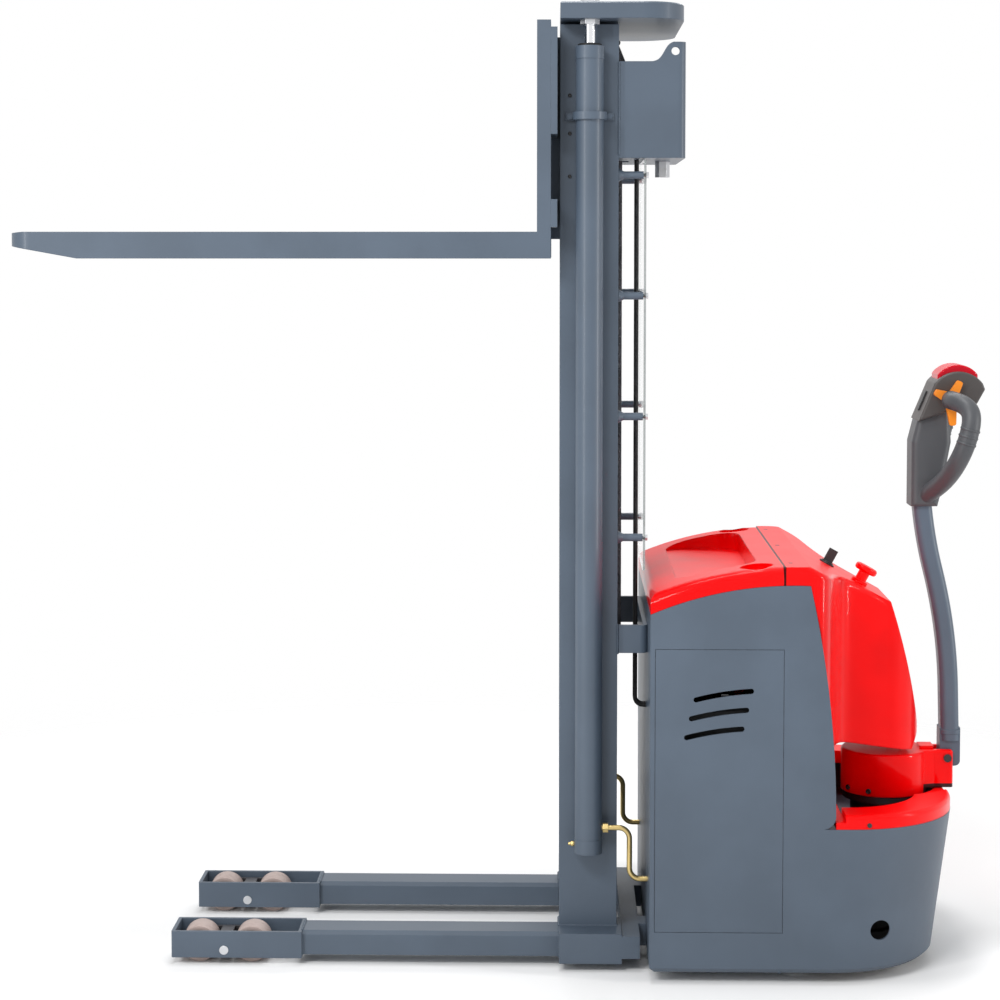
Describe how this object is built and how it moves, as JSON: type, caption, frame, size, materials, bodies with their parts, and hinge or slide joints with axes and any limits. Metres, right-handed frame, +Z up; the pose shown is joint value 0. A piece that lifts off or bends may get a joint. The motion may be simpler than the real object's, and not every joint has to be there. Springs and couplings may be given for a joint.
{
  "type": "electric stacker",
  "caption": "Walk-behind electric stacker: two-stage mast with twin side cylinders, raised forks over straddle base legs, red hood and a steering tiller.",
  "frame": {"origin": "on the floor, under the middle of the truck's bounding box", "axes": "+X along the truck towards the tiller, +Y towards the far side, +Z up"},
  "size_m": [2.1595, 0.734, 2.13],
  "materials": {
    "grey_paint": "semi-gloss paint",
    "red_cover": "glossy moulded cover",
    "red_paint": "glossy paint",
    "clear_panel": "clear guard panel",
    "bright_steel": "machined",
    "chrome_rod": "polished chrome",
    "dark_steel": "oiled dark steel",
    "brass_fitting": "zinc-yellow pipe and nuts",
    "hose_rubber": "matte",
    "tread": "polyurethane tread on a dark red hub",
    "drive_tread": "drive tyre",
    "battery_case": "moulded case",
    "black_plastic": "moulded",
    "head_plastic": "textured dark grey",
    "console_plastic": "textured warm grey",
    "stop_red": "glossy",
    "throttle_orange": "satin"
  },
  "bodies": {
    "truck": {"base_legs": "grey_paint", "bogie_pins": "bright_steel", "outer_mast_rails": "grey_paint", "mast_top_tie": "grey_paint", "mast_ties": "grey_paint", "lift_cylinders": "grey_paint", "cylinder_clamps": "grey_paint", "guard_panel": "clear_panel", "guard_brackets": "grey_paint", "hex_bolts": "bright_steel", "lift_pipes": "brass_fitting", "mast_hoses": "hose_rubber", "chassis": "grey_paint", "rear_cover": "red_cover", "deck_cover": "red_cover", "cover_screws": "bright_steel", "key_switch": "black_plastic", "stop_collar": "stop_red", "battery": "battery_case", "hydraulic_unit": "black_plastic", "motor_controller": "black_plastic"},
    "side_door": {"side_door": "grey_paint"},
    "battery_cover": {"battery_cover": "red_cover"},
    "key": {"key": "bright_steel"},
    "stop_button": {"stop_button": "stop_red"},
    "inner_mast": {"inner_mast_rails": "grey_paint", "mast_head_plate": "grey_paint", "cylinder_rods": "chrome_rod", "rod_nuts": "bright_steel", "inner_mast_rollers": "dark_steel", "free_lift_cylinder": "grey_paint"},
    "crosshead": {"free_lift_rod": "chrome_rod", "crosshead": "dark_steel", "lift_chain_turn": "dark_steel", "lift_chain_rear": "dark_steel"},
    "sheave": {"chain_sheave": "dark_steel"},
    "carriage": {"carriage_frame": "grey_paint", "forks": "grey_paint", "carriage_rollers": "dark_steel", "lift_chain_front": "dark_steel"},
    "bogie_near": {"bogie_near": "dark_steel"},
    "bogie_far": {"bogie_far": "dark_steel"},
    "roller_near_front": {"load_roller_near_front": "tread"},
    "roller_near_rear": {"load_roller_near_rear": "tread"},
    "roller_far_front": {"load_roller_far_front": "tread"},
    "roller_far_rear": {"load_roller_far_rear": "tread"},
    "steer": {"steering_head": "red_paint", "drive_unit": "dark_steel", "tiller_pin": "bright_steel"},
    "drive_wheel": {"drive_wheel": "drive_tread"},
    "tiller": {"tiller_arm": "grey_paint", "tiller_head": "head_plastic", "tiller_console": "console_plastic"},
    "belly_button": {"belly_button": "stop_red"},
    "throttle": {"throttle": "throttle_orange"},
    "lift_rocker": {"lift_rocker": "black_plastic"},
    "caster_near": {"caster_near": "dark_steel"},
    "caster_far": {"caster_far": "dark_steel"},
    "caster_wheel_near": {"caster_wheel_near": "tread"},
    "caster_wheel_far": {"caster_wheel_far": "tread"}
  },
  "joints": [
    {"name": "door_hinge", "type": "hinge", "parent": "truck", "child": "side_door", "pos_m": [0.326, -0.367, 0.4225], "axis": [0, 0, -1], "range_deg": [0, 100]},
    {"name": "battery_cover_lift", "type": "slide", "parent": "truck", "child": "battery_cover", "axis": [0, 0, 1], "range_m": [0, 0.25]},
    {"name": "key_turn", "type": "hinge", "parent": "truck", "child": "key", "pos_m": [0.73265, 0, 0.8671], "axis": [0.4756, 0, 0.8797], "range_deg": [0, 90]},
    {"name": "stop_press", "type": "slide", "parent": "truck", "child": "stop_button", "axis": [-0.4756, 0, -0.8797], "range_m": [0, 0.006], "stiffness_N_per_m": 3000, "springref_m": -0.002},
    {"name": "mast_lift", "type": "slide", "parent": "truck", "child": "inner_mast", "axis": [0, 0, 1], "range_m": [0, 1.4]},
    {"name": "free_lift", "type": "slide", "parent": "inner_mast", "child": "crosshead", "axis": [0, 0, 1], "range_m": [-0.7675, 0], "deforming": ["lift_chain_rear"]},
    {"name": "carriage_lift", "type": "slide", "parent": "crosshead", "child": "carriage", "axis": [0, 0, 1], "range_m": [-0.7675, 0], "deforming": ["lift_chain_front"]},
    {"name": "sheave_spin", "type": "hinge", "parent": "crosshead", "child": "sheave", "pos_m": [0.206, 0, 2.02], "axis": [0, 1, 0], "range_deg": [-900, 0]},
    {"name": "bogie_rock_near", "type": "hinge", "parent": "truck", "child": "bogie_near", "pos_m": [-0.624, -0.1975, 0.033], "axis": [0, 1, 0], "range_deg": [-3, 3]},
    {"name": "load_roller_spin_near_front", "type": "hinge", "parent": "bogie_near", "child": "roller_near_front", "pos_m": [-0.6825, -0.1975, 0.04], "axis": [0, 1, 0], "continuous": true},
    {"name": "load_roller_spin_near_rear", "type": "hinge", "parent": "bogie_near", "child": "roller_near_rear", "pos_m": [-0.5655, -0.1975, 0.04], "axis": [0, 1, 0], "continuous": true},
    {"name": "bogie_rock_far", "type": "hinge", "parent": "truck", "child": "bogie_far", "pos_m": [-0.624, 0.1975, 0.033], "axis": [0, 1, 0], "range_deg": [-3, 3]},
    {"name": "load_roller_spin_far_front", "type": "hinge", "parent": "bogie_far", "child": "roller_far_front", "pos_m": [-0.6825, 0.1975, 0.04], "axis": [0, 1, 0], "continuous": true},
    {"name": "load_roller_spin_far_rear", "type": "hinge", "parent": "bogie_far", "child": "roller_far_rear", "pos_m": [-0.5655, 0.1975, 0.04], "axis": [0, 1, 0], "continuous": true},
    {"name": "steering", "type": "hinge", "parent": "truck", "child": "steer", "pos_m": [0.868, 0, 0.4], "axis": [0, 0, 1], "range_deg": [-75, 75]},
    {"name": "drive_wheel_spin", "type": "hinge", "parent": "steer", "child": "drive_wheel", "pos_m": [0.846, 0, 0.1], "axis": [0, 1, 0], "continuous": true},
    {"name": "tiller_tilt", "type": "hinge", "parent": "steer", "child": "tiller", "pos_m": [1.008, 0, 0.425], "axis": [0, 1, 0], "range_deg": [0, 75], "stiffness_Nm_per_rad": 60, "springref_deg": -20.05},
    {"name": "belly_press", "type": "slide", "parent": "tiller", "child": "belly_button", "axis": [0, 0, -1], "range_m": [0, 0.007], "stiffness_N_per_m": 4000, "springref_m": -0.003},
    {"name": "throttle_turn", "type": "hinge", "parent": "tiller", "child": "throttle", "pos_m": [1, 0, 1.248], "axis": [0, 1, 0], "range_deg": [-30, 30], "stiffness_Nm_per_rad": 4},
    {"name": "lift_rocker_rock", "type": "hinge", "parent": "tiller", "child": "lift_rocker", "pos_m": [0.9485, 0, 1.2415], "axis": [0, 1, 0], "range_deg": [-8, 8], "stiffness_Nm_per_rad": 1},
    {"name": "caster_swivel_near", "type": "hinge", "parent": "truck", "child": "caster_near", "pos_m": [0.78, -0.23, 0.2], "axis": [0, 0, 1], "continuous": true},
    {"name": "caster_spin_near", "type": "hinge", "parent": "caster_near", "child": "caster_wheel_near", "pos_m": [0.746, -0.23, 0.0625], "axis": [0, 1, 0], "continuous": true},
    {"name": "caster_swivel_far", "type": "hinge", "parent": "truck", "child": "caster_far", "pos_m": [0.78, 0.23, 0.2], "axis": [0, 0, 1], "continuous": true},
    {"name": "caster_spin_far", "type": "hinge", "parent": "caster_far", "child": "caster_wheel_far", "pos_m": [0.746, 0.23, 0.0625], "axis": [0, 1, 0], "continuous": true}
  ],
  "couplings": [
    {"joint": "carriage_lift", "follows": "free_lift", "ratio": 1},
    {"joint": "sheave_spin", "follows": "free_lift", "rad_per_m": 20}
  ]
}
